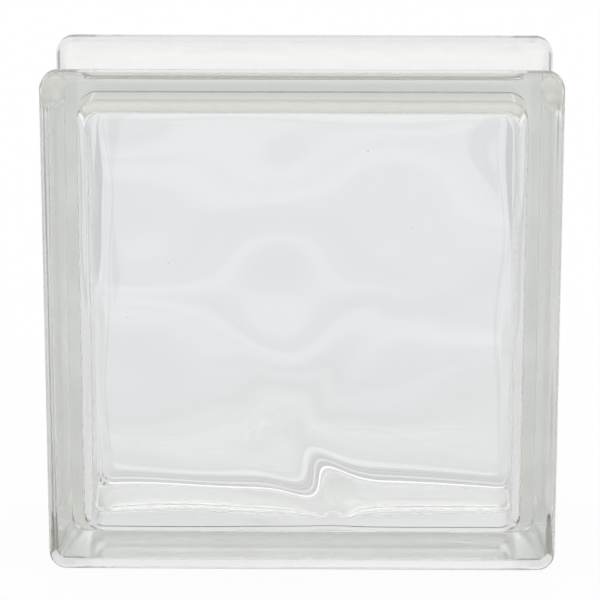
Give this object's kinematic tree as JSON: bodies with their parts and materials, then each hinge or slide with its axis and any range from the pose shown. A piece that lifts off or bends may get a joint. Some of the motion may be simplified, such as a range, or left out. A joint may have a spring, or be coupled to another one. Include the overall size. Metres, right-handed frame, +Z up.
{
  "type": "glass block",
  "caption": "Square hollow block of clear pressed glass with wavy inner faces, a lip round each face and a mortar channel between the lips.",
  "frame": {"origin": "middle of the underside, between the two lips that the block stands on", "axes": "+X to the right seen from the front, +Y from the front face to the rear face, +Z up"},
  "size_m": [0.19, 0.08, 0.19],
  "materials": {
    "glass": "clear pressed glass, fire-polished outside, softly folded inside"
  },
  "bodies": {
    "root": {"front_half": "glass", "rear_half": "glass"}
  },
  "joints": []
}
